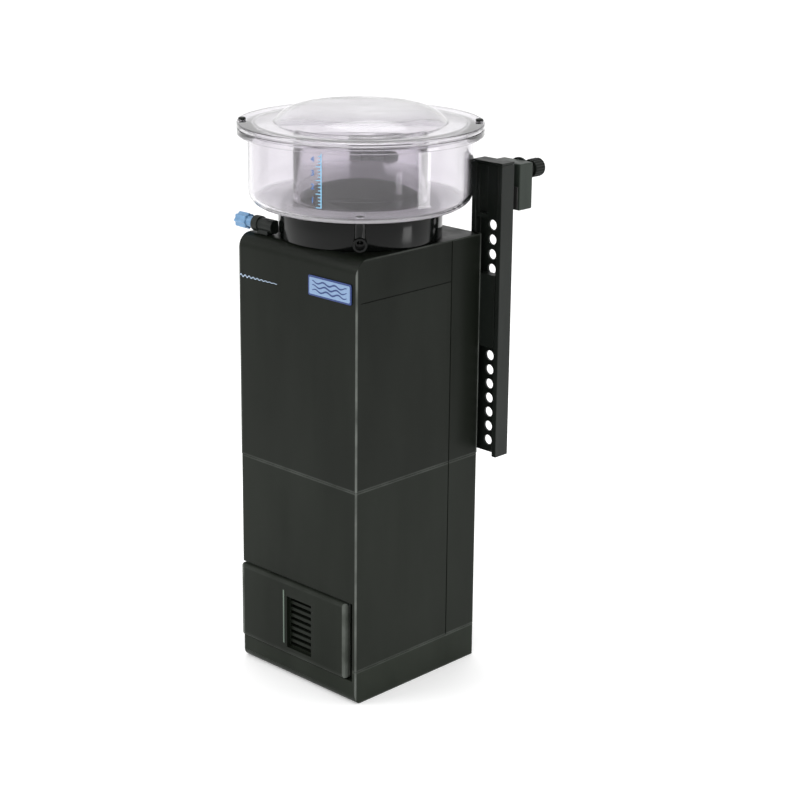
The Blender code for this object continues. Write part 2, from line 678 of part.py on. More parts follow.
def bubble_plate():
    """The holed plate that calms the flow above the pump."""
    low, high = (-0.0672, -0.0705, 0.110), (0.0672, PARTITION_Y - 0.0018, 0.113)
    plate = block("bubble_plate", low, high, "tower_black")
    starts = []
    for column in range(6):
        for row in range(4):
            x, y = -0.050 + 0.020 * column, -0.0500 + 0.022 * row
            near_pipe = math.dist((x, y), (PUMP_PIPE_X, PUMP_PIPE_Y)) < 0.018
            near_hose = math.dist((x, y), (VALVE_PORT_X, VALVE_Y)) < 0.013
            if not near_pipe and not near_hose:
                starts.append((x, y, 0.100))
    holes = rods("plate_holes", 0.0045, starts, (0, 0, 0.02), segments=6)
    pipe_hole = rod("pipe_hole", 0.0109, (PUMP_PIPE_X, PUMP_PIPE_Y, 0.10), (PUMP_PIPE_X, PUMP_PIPE_Y, 0.12))
    hose_hole = rod("hose_hole", 0.0060, (VALVE_PORT_X, VALVE_Y, 0.10), (VALVE_PORT_X, VALVE_Y, 0.12))
    return cut(plate, holes, pipe_hole, hose_hole)


def outlet_pipe():
    """The standpipe in the return chamber and its outlet through the back wall."""
    low, high, over = 0.0690, 0.300, 0.01
    pipe = rod("outlet_pipe", 0.0125, (OUTLET_X, OUTLET_Y, low), (OUTLET_X, OUTLET_Y, high), segments=24)
    stub = rod("outlet_stub", 0.0118, (OUTLET_X, OUTLET_Y, OUTLET_Z), (OUTLET_X, BACK + 0.008, OUTLET_Z), segments=24)
    bore = rod("outlet_bore", 0.0100, (OUTLET_X, OUTLET_Y, low + WALL), (OUTLET_X, OUTLET_Y, high + over),
               segments=24)
    stub_bore = rod("outlet_stub_bore", 0.0095, (OUTLET_X, OUTLET_Y, OUTLET_Z),
                    (OUTLET_X, BACK + 2 * over, OUTLET_Z), segments=24)
    return cut(join(pipe, stub), bore, stub_bore)


def cable_gland():
    """The gland that the pump's lead leaves by."""
    profile = [
        (0.0030, BACK - 0.008), (0.0057, BACK - 0.008), (0.0057, BACK + GAP), (0.0085, BACK + GAP),
        (0.0085, BACK + 0.004), (0.0055, BACK + 0.006), (0.0045, BACK + 0.011), (0.0030, BACK + 0.011),
    ]
    return turned("cable_gland", profile, "rubber_black", 16, centre=(0.030, 0, 0.355), axis="Y")


def rail_outline():
    (x0, x1), (y0, y1) = RAIL_X, RAIL_Y
    left, right = x0 + FLANGE_THICK, x1 - FLANGE_THICK
    lip_y = y0 + LIP_DEPTH
    return [
        (x0, y0), (left + LIP, y0), (left + LIP, lip_y), (left, lip_y), (left, WEB_Y[0]),
        (right, WEB_Y[0]), (right, lip_y), (right - LIP, lip_y), (right - LIP, y0), (x1, y0),
        (x1, y1), (right, y1), (right, WEB_Y[1]), (left, WEB_Y[1]), (left, y1), (x0, y1),
    ]


def sided_block(name, sign, low, high, slot, bevel=0.0):
    """A block given for the right side, or its mirror image on the left."""
    xs = sorted((sign * low[0], sign * high[0]))
    return block(name, (xs[0], *low[1:]), (xs[1], *high[1:]), slot, bevel)


def sided_prism(name, sign, outline, start, end, slot):
    return prism(name, [(sign * x, y) for x, y in outline], "Z", start, end, slot)


def rail(side, sign):
    channel = sided_prism(f"rail_{side}", sign, rail_outline(), *RAIL_Z, "rail_black")
    middle = sign * RAIL_MIDDLE
    starts = [(middle, WEB_Y[0] - 0.004, TOP_HOLE - HOLE_PITCH * i) for i in range(HOLE_COUNT)]
    holes = rods(f"rail_holes_{side}", HOLE_RADIUS, starts, (0, 0.01, 0), "rail_black", 10)
    half = ARM_BAR_HALF + 0.0004
    notch = sided_block(f"rail_notch_{side}", sign, (RAIL_MIDDLE - half, WEB_Y[0] - 0.002, ARM_BAR_Z[0] - 0.0004),
                        (RAIL_MIDDLE + half, WEB_Y[1] + 0.002, RAIL_Z[1] + 0.01), "rail_black")
    return cut(channel, holes, notch)


def guide_shoe(side, sign):
    """The T-shaped shoe on the back wall that the rail's channel slides on."""
    lip, flange, space = FLANGE_THICK + LIP + 0.0004, FLANGE_THICK + 0.0004, 0.0004
    neck = (RAIL_X[0] + lip, RAIL_X[1] - lip)
    head = (RAIL_X[0] + flange, RAIL_X[1] - flange)
    step_y, front = RAIL_Y[0] + LIP_DEPTH + space, BACK + GAP
    outline = [
        (neck[0], front), (neck[1], front), (neck[1], step_y), (head[1], step_y),
        (head[1], WEB_Y[0] - space), (head[0], WEB_Y[0] - space), (head[0], step_y), (neck[0], step_y),
    ]
    return sided_prism(f"guide_shoe_{side}", sign, outline, *SHOE_Z, "rail_black")


def hook_arm(side, sign):
    """The plug in the rail's top with its catch in the top hole, the bar over the pane and the stud."""
    lip, space = FLANGE_THICK + LIP + 0.0004, 0.0004
    top = 0.4480
    cap = sided_block(f"hook_arm_{side}", sign, (RAIL_X[0], RAIL_Y[0], RAIL_Z[1] + GAP),
                      (RAIL_X[1], RAIL_Y[1], top), "rail_black")
    front, back = RAIL_Y[0] + 0.0002, WEB_Y[0] - space
    plug_bottom = 0.3995
    plug = sided_block(f"arm_plug_{side}", sign, (RAIL_X[0] + lip, front, plug_bottom),
                       (RAIL_X[1] - lip, back, RAIL_Z[1] + 0.001), "rail_black")
    nub = rod(f"arm_nub_{side}", 0.0038, (sign * RAIL_MIDDLE, back - 0.001, TOP_HOLE),
              (sign * RAIL_MIDDLE, back + 0.0018, TOP_HOLE), "rail_black", 12)
    bar = sided_block(f"arm_bar_{side}", sign, (RAIL_MIDDLE - ARM_BAR_HALF, back - 0.001, ARM_BAR_Z[0]),
                      (RAIL_MIDDLE + ARM_BAR_HALF, 0.1040, ARM_BAR_Z[1]), "rail_black")
    stud = rod(f"arm_stud_{side}", 0.0030, (sign * RAIL_MIDDLE, 0.1030, SCREW_Z),
               (sign * RAIL_MIDDLE, 0.1330, SCREW_Z), "rail_black")
    finger_groove = sided_block(f"arm_groove_{side}", sign, (0.0665, front - 0.01, plug_bottom + 0.004),
                                (0.0755, front + 0.0030, RAIL_Z[1] - 0.002), "rail_black")
    return cut(join(cap, plug, nub, bar, stud), finger_groove)


def hook_jaw(side, sign):
    jaw = sided_block(f"hook_jaw_{side}", sign, (0.0585, JAW_Y[0], JAW_Z[0]), (0.0910, JAW_Y[1], JAW_Z[1]),
                      "rail_black", bevel=0.0012)
    half, space = ARM_BAR_HALF + 0.0004, 0.0004
    window = sided_block(f"jaw_window_{side}", sign, (RAIL_MIDDLE - half, JAW_Y[0] - 0.01, ARM_BAR_Z[0] - space),
                         (RAIL_MIDDLE + half, JAW_Y[1] + 0.01, ARM_BAR_Z[1] + space), "rail_black")
    return cut(jaw, window)


def jaw_pad(side, sign):
    return sided_block(f"jaw_pad_{side}", sign, (0.0600, JAW_Y[0] - 0.0015, JAW_Z[0] + 0.002),
                       (0.0895, JAW_Y[0] - GAP, ARM_BAR_Z[0] - 0.003), "rubber_black")


def clamp_knob(side, sign):
    """The nut on the stud that presses the jaw against the pane."""
    seat = JAW_Y[1] + GAP
    bore, end = 0.0033, 0.1410
    profile = [
        (bore, seat), (0.0115, seat), (0.0115, seat + 0.0022), (0.0050, seat + 0.0022), (0.0050, 0.1290),
        (0.0074, 0.1290), (0.0080, 0.1296), (0.0080, end - 0.0010), (0.0070, end), (0, end),
        (0, end - 0.0015), (bore, end - 0.0015),
    ]
    return turned(f"clamp_knob_{side}", profile, "rail_black", 18, centre=(sign * RAIL_MIDDLE, 0, SCREW_Z), axis="Y")


def hanging_rails():
    for side, sign in (("right", 1), ("left", -1)):
        for make in (rail, guide_shoe, hook_arm, hook_jaw, jaw_pad, clamp_knob):
            make(side, sign)


def tower():
    for make in (base_tray, lower_housing, upper_housing, front_cover, badge_plate, rear_partition,
                 bubble_plate, outlet_pipe, cable_gland, foam_cone, neck_collar, cup_gasket):
        make()


def foam_cup():
    for make in (cup, riser_tube, drain_elbow, lid, lid_pins):
        make()


def air_line():
    for make in (air_valve_body, air_needle, air_knob, air_hose, air_injector):
        make()


def pump():
    for make in (pump_motor, pump_volute, pump_outlet_pipe, intake_strainer, rotor, pump_pads):
        make()


def main():
    clear_scene()
    tower()
    foam_cup()
    air_line()
    pump()
    hanging_rails()


main()
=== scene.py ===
"""The looks of a protein skimmer: satin black tower, clear cup and lid, blue air valve, hanging rails.

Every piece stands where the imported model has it. Lengths are in metres, Z is up.
"""

import json
import math

import bmesh
import bpy
from mathutils import Matrix, Vector

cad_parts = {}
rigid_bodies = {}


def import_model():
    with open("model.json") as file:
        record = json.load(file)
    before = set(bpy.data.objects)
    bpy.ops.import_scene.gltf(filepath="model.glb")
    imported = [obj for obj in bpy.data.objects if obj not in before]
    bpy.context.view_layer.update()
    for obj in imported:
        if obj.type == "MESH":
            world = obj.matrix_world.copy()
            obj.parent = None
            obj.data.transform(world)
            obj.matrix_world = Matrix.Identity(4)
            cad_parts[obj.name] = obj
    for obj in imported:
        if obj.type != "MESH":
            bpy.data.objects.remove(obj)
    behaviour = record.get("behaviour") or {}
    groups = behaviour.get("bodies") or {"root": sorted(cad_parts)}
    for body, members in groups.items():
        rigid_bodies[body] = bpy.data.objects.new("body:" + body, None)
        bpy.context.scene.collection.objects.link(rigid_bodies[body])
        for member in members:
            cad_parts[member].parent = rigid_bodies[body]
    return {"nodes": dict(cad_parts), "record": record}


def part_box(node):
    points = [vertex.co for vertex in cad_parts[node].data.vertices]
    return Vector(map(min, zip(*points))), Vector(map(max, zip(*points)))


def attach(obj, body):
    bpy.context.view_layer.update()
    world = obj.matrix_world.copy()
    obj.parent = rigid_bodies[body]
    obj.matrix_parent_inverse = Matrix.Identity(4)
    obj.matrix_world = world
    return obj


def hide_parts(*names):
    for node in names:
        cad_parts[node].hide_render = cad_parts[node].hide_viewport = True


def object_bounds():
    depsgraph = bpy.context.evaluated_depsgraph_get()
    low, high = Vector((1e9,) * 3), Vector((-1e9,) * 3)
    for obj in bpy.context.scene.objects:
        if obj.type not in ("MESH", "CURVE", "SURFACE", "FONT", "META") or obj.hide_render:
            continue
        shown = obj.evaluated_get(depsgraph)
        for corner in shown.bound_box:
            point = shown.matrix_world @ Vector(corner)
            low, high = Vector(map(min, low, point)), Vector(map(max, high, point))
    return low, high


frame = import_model()
CAD_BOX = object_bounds()
NODES = frame["nodes"]
BODY_OF = {node: body for body, nodes in frame["record"]["behaviour"]["bodies"].items() for node in nodes}
SLOT_OF = {entry["node"]: entry["material_slot"] for entry in frame["record"]["subparts"]}
MM = 0.001

# Sizes that more than one piece shares
BEAD_HEIGHT = 0.5 * MM
CUP_RADIUS = 94 * MM
CUP_FLOOR = 3.2 * MM
PIN_HOLE_RADIUS = 2.7 * MM
CUP_TINT = (0.800, 0.778, 0.815)


# Materials


class Surface:
    """A Principled material that is built up layer by layer."""

    def __init__(self, name, ior=1.46):
        self.material = bpy.data.materials.new(name)
        self.material.use_nodes = True
        self.tree = self.material.node_tree
        self.shader = self.tree.nodes["Principled BSDF"]
        self.shader.inputs["IOR"].default_value = ior
        self.place = self.node("ShaderNodeTexCoord").outputs["Object"]

    def node(self, kind, **settings):
        made = self.tree.nodes.new(kind)
        for key, value in settings.items():
            setattr(made, key, value)
        return made

    def link(self, source, target):
        self.tree.links.new(source, target)

    def noise(self, scale, detail=4.0, stretch=(1, 1, 1)):
        """Noise with the given number of features per metre, stretched along some axes."""
        mapping = self.node("ShaderNodeMapping")
        mapping.inputs["Scale"].default_value = stretch
        self.link(self.place, mapping.inputs["Vector"])
        made = self.node("ShaderNodeTexNoise")
        made.inputs["Scale"].default_value = scale
        made.inputs["Detail"].default_value = detail
        self.link(mapping.outputs["Vector"], made.inputs["Vector"])
        return made.outputs["Fac"]

    def ranged(self, value, low, high, start=0.35, end=0.65):
        """A value that runs from low to high while the given one runs from start to end."""
        made = self.node("ShaderNodeMapRange")
        made.inputs["From Min"].default_value = start
        made.inputs["From Max"].default_value = end
        made.inputs["To Min"].default_value = low
        made.inputs["To Max"].default_value = high
        self.link(value, made.inputs["Value"])
        return made.outputs["Result"]

    def mixed(self, factor, first, second):
        made = self.node("ShaderNodeMix", data_type="RGBA")
        self.link(factor, made.inputs["Factor"])
        for socket, colour in ((made.inputs["A"], first), (made.inputs["B"], second)):
            if isinstance(colour, tuple):
                socket.default_value = (*colour, 1)
            else:
                self.link(colour, socket)
        return made.outputs["Result"]

    def colour(self, first, second, scale, stretch=(1, 1, 1)):
        """Two shades in soft patches, with the sharpest edges painted lighter as a highlight."""
        patches = self.mixed(self.ranged(self.noise(scale, 3, stretch), 0, 1), first, second)
        # Pointiness finds the sharp edges, and they get a painted highlight.
        geometry = self.node("ShaderNodeNewGeometry")
        edge = self.ranged(geometry.outputs["Pointiness"], 0, 0.5, 0.53, 0.62)
        painted_highlight = tuple(min(1, 1.7 * part + 0.01) for part in second)
        self.link(self.mixed(edge, patches, painted_highlight), self.shader.inputs["Base Color"])
        return self

    def combined(self, operation, first, second):
        made = self.node("ShaderNodeMath", operation=operation)
        self.link(first, made.inputs[0])
        self.link(second, made.inputs[1])
        return made.outputs["Value"]

    def rubbed_edges(self, low, high, chamfer, width, shade, level_share=0.35):
        """A painted highlight: a lighter, broken line along the edges of the piece's own box, strongest on
        the upright ones.

        Two distances from the middle have their greatest sum on an edge, so the sum tells how near it is.
        """
        centre, half = (low + high) / 2, (high - low) / 2
        shifted = self.node("ShaderNodeVectorMath", operation="SUBTRACT")
        shifted.inputs[1].default_value = centre
        self.link(self.place, shifted.inputs[0])
        positive = self.node("ShaderNodeVectorMath", operation="ABSOLUTE")
        self.link(shifted.outputs["Vector"], positive.inputs[0])
        lines = []
        for pair, share in (((1, 1, 0), 1.0), ((1, 0, 1), level_share), ((0, 1, 1), level_share)):
            along = self.node("ShaderNodeVectorMath", operation="DOT_PRODUCT")
            along.inputs[1].default_value = pair
            self.link(positive.outputs["Vector"], along.inputs[0])
            limit = sum(h for h, used in zip(half, pair) if used) - chamfer
            lines.append(self.ranged(along.outputs["Value"], 0, share, limit - width, limit - 0.5 * width))
        joined = self.combined("MAXIMUM", self.combined("MAXIMUM", lines[0], lines[1]), lines[2])
        broken = self.combined("MULTIPLY", joined, self.ranged(self.noise(45, 3), 0.45, 1.0))
        socket = self.shader.inputs["Base Color"]
        plain = socket.links[0].from_socket
        self.link(self.mixed(broken, plain, shade), socket)
        return self

    def gloss(self, low, high, scale, stretch=(1, 1, 1)):
        """Patches with a roughness from low to high."""
        value = self.ranged(self.noise(scale, 5, stretch), low, high)
        self.link(value, self.shader.inputs["Roughness"])
        return self

    def grain(self, scale, depth, detail=2.0, stretch=(1, 1, 1)):
        """A fine bump of the given depth in metres."""
        bump = self.node("ShaderNodeBump")
        bump.inputs["Strength"].default_value = 1
        bump.inputs["Distance"].default_value = depth
        self.link(self.noise(scale, detail, stretch), bump.inputs["Height"])
        self.link(bump.outputs["Normal"], self.shader.inputs["Normal"])
        return self

    def set(self, **inputs):
        for key, value in inputs.items():
            self.shader.inputs[key.replace("_", " ")].default_value = value
        return self


def scaled(colour, factor):
    return tuple(factor * part for part in colour)


def tower_plastic(node):
    """Satin black plastic with a green cast, fine grain, upright draw lines and painted edge highlights."""
    surface = Surface(f"tower_black_{node}", ior=1.46)
    surface.set(Specular_IOR_Level=0.10)
    # Painted light: the lower pieces get a lighter copy of the same plastic, lighter towards the foot.
    shade = {"lower_housing": 1.25, "front_cover": 1.4, "base_tray": 2.0}.get(node, 1)
    dark, light = (0.0050, 0.0066, 0.0044), (0.0080, 0.0100, 0.0072)
    surface.colour(scaled(dark, shade), scaled(light, shade), 22, (1, 1, 0.35))
    low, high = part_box(node)
    width = 1.7 * MM
    # The lines along the box's edges are painted highlights; on the cover they sit mostly on the upright
    # chamfer.
    if node == "front_cover":
        face = Vector((0, BEAD_HEIGHT, 0))
        chamfer, painted_highlight = 2.7 * MM, (0.100, 0.110, 0.098)
        surface.rubbed_edges(low + face, high, chamfer, width, painted_highlight, 0.12)
    else:
        painted_highlight = (0.120, 0.130, 0.118)
        surface.rubbed_edges(low, high, 0, width, painted_highlight)
    surface.gloss(0.30, 0.44, 70, (1, 1, 0.12))
    return surface.grain(1500, 0.012 * MM).material


def glossy_black():
    """Polished black plastic, smooth enough to mirror a light."""
    surface = Surface("neck_gloss_black", ior=1.5)
    surface.set(Specular_IOR_Level=0.2)
    surface.colour((0.0016, 0.0020, 0.0018), (0.0030, 0.0036, 0.0032), 30)
    surface.gloss(0.09, 0.17, 45, (1, 1, 2))
    return surface.grain(260, 0.010 * MM).material


def rail_plastic(name="rail_black", low=0.34, high=0.50, shade=1):
    """Satin black plastic with a roughness from low to high, made lighter by shade."""
    surface = Surface(name, ior=1.46)
    surface.set(Specular_IOR_Level=0.22)
    dark, light = (0.0050, 0.0068, 0.0054), (0.0095, 0.0120, 0.0098)
    surface.colour(scaled(dark, shade), scaled(light, shade), 40, (1, 1, 0.3))
    surface.gloss(low, high, 90, (1, 1, 0.2))
    return surface.grain(1300, 0.02 * MM).material


def clear_acrylic(name, tint, haze, bloom, floor=0):
    """Clear moulded plastic with a lilac tint, faint flow marks and a slight bloom.

    Below the height that floor gives, it is milky.
    """
    surface = Surface(name, ior=1.47)
    paler = tuple(1 - 0.7 * (1 - part) for part in tint)
    patches = surface.mixed(surface.ranged(surface.noise(18, 2), 0, 1), tint, paler)
    surface.link(patches, surface.shader.inputs["Base Color"])
    surface.gloss(haze, haze + 0.05, 35, (1, 1, 0.4))
    surface.grain(28, 0.10 * MM, 1.0, (1, 1, 0.35))
    surface.set(Transmission_Weight=1 - bloom, Specular_IOR_Level=0.12)
    if floor:
        parts = surface.node("ShaderNodeSeparateXYZ")
        surface.link(surface.place, parts.inputs[0])
        clear = surface.ranged(parts.outputs["Z"], 0.62, 1 - bloom, floor + 0.2 * MM, floor + 2.5 * MM)
        surface.link(clear, surface.shader.inputs["Transmission Weight"])
    return surface.material


def blue_plastic():
    surface = Surface("valve_blue", ior=1.46)
    surface.colour((0.110, 0.240, 0.420), (0.160, 0.310, 0.500), 160)
    surface.gloss(0.28, 0.42, 300)
    return surface.grain(1800, 0.02 * MM).material


def rubber():
    surface = Surface("rubber_black", ior=1.45)
    surface.colour((0.009, 0.009, 0.009), (0.019, 0.019, 0.018), 90)
    surface.gloss(0.62, 0.85, 140)
    return surface.grain(1700, 0.04 * MM).material


def pump_plastic():
    surface = Surface("pump_grey", ior=1.46)
    surface.colour((0.028, 0.029, 0.032), (0.046, 0.047, 0.051), 50)
    surface.gloss(0.36, 0.52, 110)
    return surface.grain(1100, 0.04 * MM).material


def ferrite():
    surface = Surface("magnet_ferrite", ior=1.6)
    surface.colour((0.022, 0.022, 0.024), (0.060, 0.060, 0.064), 400)
    surface.gloss(0.35, 0.6, 500)
    return surface.set(Metallic=0.5).grain(2200, 0.03 * MM).material


def ceramic():
    surface = Surface("shaft_ceramic", ior=1.6)
    surface.colour((0.70, 0.69, 0.65), (0.80, 0.79, 0.75), 120)
    surface.gloss(0.16, 0.26, 240)
    return surface.grain(2000, 0.01 * MM).material


def white_plastic():
    surface = Surface("wheel_white", ior=1.46)
    surface.colour((0.60, 0.61, 0.61), (0.72, 0.73, 0.73), 80)
    surface.gloss(0.34, 0.48, 150)
    return surface.grain(1300, 0.03 * MM).material


def hose_plastic():
    surface = Surface("hose_clear", ior=1.45)
    surface.colour((0.30, 0.36, 0.38), (0.42, 0.47, 0.49), 60, (1, 1, 0.3))
    surface.gloss(0.22, 0.36, 120)
    return surface.grain(700, 0.03 * MM).material


def print_ink(name, first, second):
    """Screen-printed ink with the slight mottle of a thin layer."""
    surface = Surface(name, ior=1.45)
    surface.colour(first, second, 600)
    surface.gloss(0.35, 0.55, 900)
    return surface.grain(2500, 0.005 * MM).material


def studio_floor():
    surface = Surface("studio_floor", ior=1.3)
    surface.colour((0.955, 0.955, 0.955), (0.97, 0.97, 0.97), 3)
    surface.set(Emission_Color=(1, 1, 1, 1), Emission_Strength=0.16)
    return surface.gloss(0.75, 0.85, 6).material


LID_CLEAR = clear_acrylic("lid_clear", (0.845, 0.828, 0.858), 0.03, 0.03)
CUP_WALL_CLEAR = clear_acrylic("cup_wall_clear", CUP_TINT, 0.02, 0.004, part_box("cup")[0].z + CUP_FLOOR)
LOOKS = {
    "tower_black": tower_plastic("upper_housing"),
    "neck_black": glossy_black(),
    "rail_black": rail_plastic(),
    "clear_cup": clear_acrylic("cup_clear", CUP_TINT, 0.02, 0.004),
    "valve_blue": blue_plastic(),
    "rubber_black": rubber(),
    "pump_grey": pump_plastic(),
    "magnet": ferrite(),
    "ceramic": ceramic(),
    "white_plastic": white_plastic(),
    "hose": hose_plastic(),
    "badge_blue": print_ink("badge_navy", (0.012, 0.030, 0.130), (0.022, 0.050, 0.190)),
}
INK_SKY = print_ink("ink_sky_blue", (0.150, 0.360, 0.600), (0.200, 0.430, 0.680))
INK_PALE = print_ink("ink_pale_blue", (0.30, 0.40, 0.54), (0.38, 0.47, 0.60))
INK_PANEL = print_ink("ink_panel", (0.125, 0.200, 0.330), (0.165, 0.250, 0.390))
INK_NAVY = print_ink("ink_navy", (0.008, 0.024, 0.100), (0.012, 0.036, 0.140))
INK_BLUE = print_ink("ink_blue", (0.035, 0.110, 0.330), (0.050, 0.150, 0.400))
PIN_DARK = rail_plastic("pin_dark", 0.2, 0.3)
JAW_DARK = rail_plastic("jaw_dark", shade=3.2)
# A pale copy of the rail plastic, painted on the cover's bead as a highlight.
BEAD_PAINTED_HIGHLIGHT = rail_plastic("bead_painted_highlight", shade=14)


# Building blocks


def new_piece(name, mesh, node=None, body=None, slot=None, look=None):
    """Puts a mesh in the scene on the body of the node it stands for, with the given look or its slot's;
    hides the node.
    """
    obj = bpy.data.objects.new(name, mesh)
    bpy.context.scene.collection.objects.link(obj)
    slot = slot or SLOT_OF[node]
    mesh.materials.clear()
    mesh.materials.append(look or LOOKS[slot])
    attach(obj, body or BODY_OF[node])
    if node:
        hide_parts(node)
    return obj


def mesh_from(bm, name):
    bmesh.ops.recalc_face_normals(bm, faces=bm.faces)
    mesh = bpy.data.meshes.new(name)
    bm.to_mesh(mesh)
    bm.free()
    mesh.shade_smooth()
    mesh.set_sharp_from_angle(angle=math.radians(32))
    return mesh


def soften(obj, width):
    """Small rounded edges, with the shading of the flat faces kept flat."""
    bevel = obj.modifiers.new("edges", "BEVEL")
    bevel.width = width
    bevel.segments = 2
    bevel.limit_method = "ANGLE"
    bevel.angle_limit = math.radians(33)
    bevel.use_clamp_overlap = False
    bevel.miter_outer = "MITER_ARC"
    normals = obj.modifiers.new("normals", "WEIGHTED_NORMAL")
    normals.keep_sharp = False
    return obj


def refined(node, width):
    """A CAD solid as it is, with its edges rounded."""
    bm = bmesh.new()
    bm.from_mesh(NODES[node].data)
    bmesh.ops.remove_doubles(bm, verts=bm.verts, dist=0.002 * MM)
    mesh = bpy.data.meshes.new(f"{node}_surface")
    bm.to_mesh(mesh)
    bm.free()
    mesh.shade_smooth()
    look = JAW_DARK if node.startswith("hook_jaw") else None
    if SLOT_OF[node] == "tower_black":
        look = tower_plastic(node)
    obj = new_piece(f"{node}_surface", mesh, node, look=look)
    return soften(obj, width)


def rounded(corners, steps=4):
    """A closed outline of (first, second, radius) corners, each turned into an arc."""
    points = []
    count = len(corners)
    for i, (a, b, radius) in enumerate(corners):
        here = Vector((a, b))
        before = (Vector(corners[i - 1][:2]) - here).normalized()
        after = (Vector(corners[(i + 1) % count][:2]) - here).normalized()
        if radius <= 0 or abs(before.dot(after)) > 0.9999:
            points.append((a, b))
            continue
        half = math.acos(max(-1, min(1, before.dot(after)))) / 2
        middle = here + (before + after).normalized() * radius / math.sin(half)
        start = here + before * radius / math.tan(half) - middle
        end = here + after * radius / math.tan(half) - middle
        sweep = start.angle_signed(end)
        for k in range(steps + 1):
            turn = -sweep * k / steps
            cos, sin = math.cos(turn), math.sin(turn)
            across = middle.x + start.x * cos - start.y * sin
            along = middle.y + start.x * sin + start.y * cos
            points.append((across, along))
    return points


def turned_mesh(name, profile, segments=128, centre=(0, 0, 0), axis="Z", flutes=None):
    """A closed profile of (radius, along) points turned about an axis.

    flutes is (count, depth, from, to, beyond): grooves between two places along the axis, cut into the
    points that are farther than beyond from it.
    """
    count, depth, start, end, beyond = flutes or (0, 0, 0, 0, 0)
    bm = bmesh.new()
    rings = []
    for radius, along in profile:
        ring = []
        for i in range(segments):
            angle = math.tau * i / segments
            size = radius
            if flutes and start <= along <= end and radius > beyond:
                size -= depth * (1 - math.cos(count * angle)) / 2
            across = (size * math.cos(angle), size * math.sin(angle))
            spot = {"Z": (across[0], across[1], along), "Y": (across[0], along, across[1]),
                    "X": (along, across[0], across[1])}[axis]
            ring.append(bm.verts.new(Vector(centre) + Vector(spot)))
        rings.append(ring)
    for k, ring in enumerate(rings):
        other = rings[(k + 1) % len(rings)]
        for i in range(segments):
            j = (i + 1) % segments
            bm.faces.new((ring[i], ring[j], other[j], other[i]))
    bmesh.ops.remove_doubles(bm, verts=bm.verts, dist=0.001 * MM)
    return mesh_from(bm, name)


def close_prism(bm, first, second):
    """The sides and both ends between two rings of vertices."""
    count = len(first)
    for i in range(count):
        j = (i + 1) % count
        bm.faces.new((first[i], first[j], second[j], second[i]))
    bm.faces.new(first)
    bm.faces.new(second)


def prism_mesh(name, outline, axis, start, end):
    """A closed outline drawn out along Y or Z."""
    bm = bmesh.new()
    rings = []
    for along in (start, end):
        rings.append([bm.verts.new((a, along, b) if axis == "Y" else (a, b, along)) for a, b in outline])
    close_prism(bm, *rings)
    return mesh_from(bm, name)


def carve(mesh, cutter_meshes):
    """Cuts shapes out of a mesh and returns the result."""
    scene = bpy.context.scene.collection.objects
    target = bpy.data.objects.new("carved", mesh)
    scene.link(target)
    cutters = []
    for cutter_mesh in cutter_meshes:
        cutter = bpy.data.objects.new("cutter", cutter_mesh)
        scene.link(cutter)
        cutters.append(cutter)
        modifier = target.modifiers.new("cut", "BOOLEAN")
        modifier.operation = "DIFFERENCE"
        modifier.solver = "EXACT"
        modifier.object = cutter
    depsgraph = bpy.context.evaluated_depsgraph_get()
    result = bpy.data.meshes.new_from_object(target.evaluated_get(depsgraph))
    for obj in (target, *cutters):
        bpy.data.objects.remove(obj)
    return result


def cylinder_mesh(radius, centre, axis, length, segments=32):
    half = length / 2
    profile = [(0, -half), (radius, -half), (radius, half), (0, half)]
    return turned_mesh("cylinder", profile, segments, centre, axis)


# Cup, riser, lid and neck


def smoothed(mesh):
    """Smooth shading after a cut, with the true edges kept sharp."""
    mesh.shade_smooth()
    mesh.set_sharp_from_angle(angle=math.radians(40))
    return mesh


def pin_hole_cutters(level):
    return [cylinder_mesh(PIN_HOLE_RADIUS, (x, y, level), "Z", 20 * MM, 24) for x, y in pin_places()]


def cup():
    low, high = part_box("cup")
    riser_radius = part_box("riser_tube")[1].x
    flange, bottom, top = high.x, low.z, high.z
    wall, outside, corner = 3 * MM, CUP_RADIUS, 12 * MM
    under_flange = top - 5.5 * MM
    hole = riser_radius - wall
    floor = bottom + CUP_FLOOR
    profile = rounded([
        (hole, bottom, 0.3 * MM), (outside, bottom, corner), (outside, under_flange, 1.4 * MM),
        (flange, under_flange, 0.9 * MM), (flange, top, 0.4 * MM), (outside - wall, top, 0.4 * MM),
        (outside - wall, floor, corner - wall), (hole, floor, 0.3 * MM),
    ], 6)
    drain_offset, drain_radius = 75.5 * MM / math.sqrt(2), 4 * MM
    drain = cylinder_mesh(drain_radius, (drain_offset, -drain_offset, bottom), "Z", 20 * MM, 24)
    mesh = carve(turned_mesh("cup_wall", profile, 144), [*pin_hole_cutters(top - 5 * MM), drain])
    new_piece("cup_wall", smoothed(mesh), "cup", look=CUP_WALL_CLEAR)


def pin_places():
    places = []
    for side in ("left", "right"):
        low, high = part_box(f"lid_pin_{side}")
        places.append(((low.x + high.x) / 2, (low.y + high.y) / 2))
    return places


def riser():
    """The tube in the cup, with a thicker foot."""
    low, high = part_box("riser_tube")
    outside, foot, inner, step = high.x, high.x - 3.0 * MM, high.x - 2.2 * MM, 424 * MM
    profile = rounded([
        (foot, low.z, 0.3 * MM), (outside, low.z, 0.3 * MM), (outside, high.z, 0.9 * MM),
        (inner, high.z, 0.7 * MM), (inner, step, 0.2 * MM), (foot, step, 0.5 * MM),
    ])
    new_piece("riser_wall", turned_mesh("riser_wall", profile, 128), "riser_tube")


def dome(radius, foot, top, steps=22):
    """A low dome's profile, flat on top and steepest at its foot, from the middle outwards."""
    shares = [0, *(0.12 + 0.88 * math.sin(math.pi / 2 * i / steps) for i in range(steps + 1))]
    return [(radius * share, foot + (top - foot) * (1 - share**7), 0) for share in shares]


